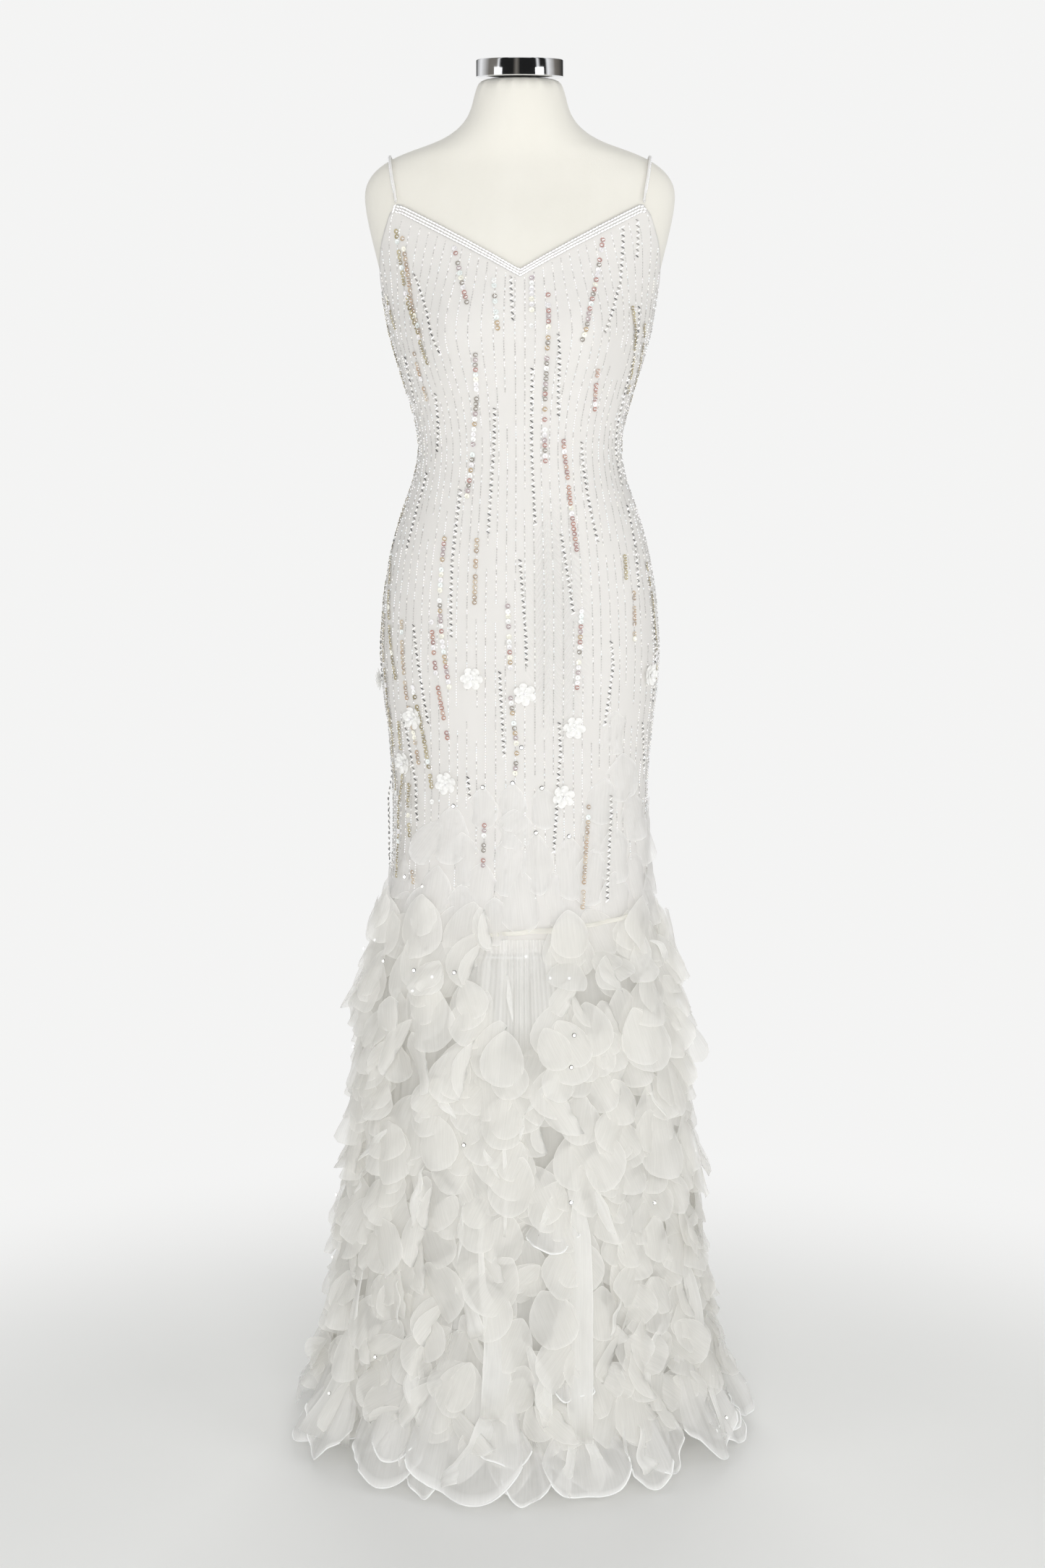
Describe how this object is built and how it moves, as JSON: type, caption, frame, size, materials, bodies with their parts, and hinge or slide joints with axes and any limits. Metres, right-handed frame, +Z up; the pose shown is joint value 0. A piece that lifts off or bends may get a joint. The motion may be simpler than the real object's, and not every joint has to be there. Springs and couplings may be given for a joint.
{
  "type": "evening gown on a limbless dress form",
  "caption": "Full-length fitted beaded gown with thin straps, V neckline and a flared skirt covered in organza petals, standing on an armless jersey dress form with a round base.",
  "frame": {"origin": "middle of the base's flat underside, on the floor", "axes": "+Z up, -Y towards the gown's front, +X towards the wearer's left"},
  "size_m": [0.555, 0.5414, 1.668],
  "materials": {
    "form_jersey": "cream cotton jersey stretched smooth over the form",
    "neck_chrome": "polished chrome neck cap",
    "stand_enamel": "white enamelled steel pole and base",
    "sheath_mesh": "white fine mesh over white crepe lining, sewn with lines of beads and sequins",
    "bead_trim": "clear and pearly glass beads and iridescent cup sequins",
    "skirt_organza": "sheer ivory organza with a white rolled hem",
    "petal_organza": "sheer white organza petals with fused edges",
    "rosette_organza": "gathered white organza rosettes with a bead in the middle"
  },
  "bodies": {
    "root": {"binding_back_left": "bead_trim", "binding_back_right": "bead_trim", "binding_front": "bead_trim", "form_base": "stand_enamel", "form_body": "form_jersey", "form_neck_cap": "neck_chrome", "form_pole": "stand_enamel", "petals_hip_high": "petal_organza", "petals_hip_low": "petal_organza", "petals_knee": "petal_organza", "petals_skirt_1": "petal_organza", "petals_skirt_2": "petal_organza", "petals_skirt_3": "petal_organza", "petals_skirt_4": "petal_organza", "petals_skirt_5": "petal_organza", "petals_skirt_6": "petal_organza", "petals_skirt_7": "petal_organza", "petals_skirt_8": "petal_organza", "petals_thigh_high": "petal_organza", "petals_thigh_mid": "petal_organza", "rosette_1": "rosette_organza", "rosette_10": "rosette_organza", "rosette_11": "rosette_organza", "rosette_12": "rosette_organza", "rosette_13": "rosette_organza", "rosette_14": "rosette_organza", "rosette_2": "rosette_organza", "rosette_3": "rosette_organza", "rosette_4": "rosette_organza", "rosette_5": "rosette_organza", "rosette_6": "rosette_organza", "rosette_7": "rosette_organza", "rosette_8": "rosette_organza", "rosette_9": "rosette_organza", "sheath_back_left": "sheath_mesh", "sheath_back_right": "sheath_mesh", "sheath_front": "sheath_mesh", "skirt_back": "skirt_organza", "skirt_front": "skirt_organza", "strap_left": "bead_trim", "strap_right": "bead_trim"}
  },
  "joints": []
}
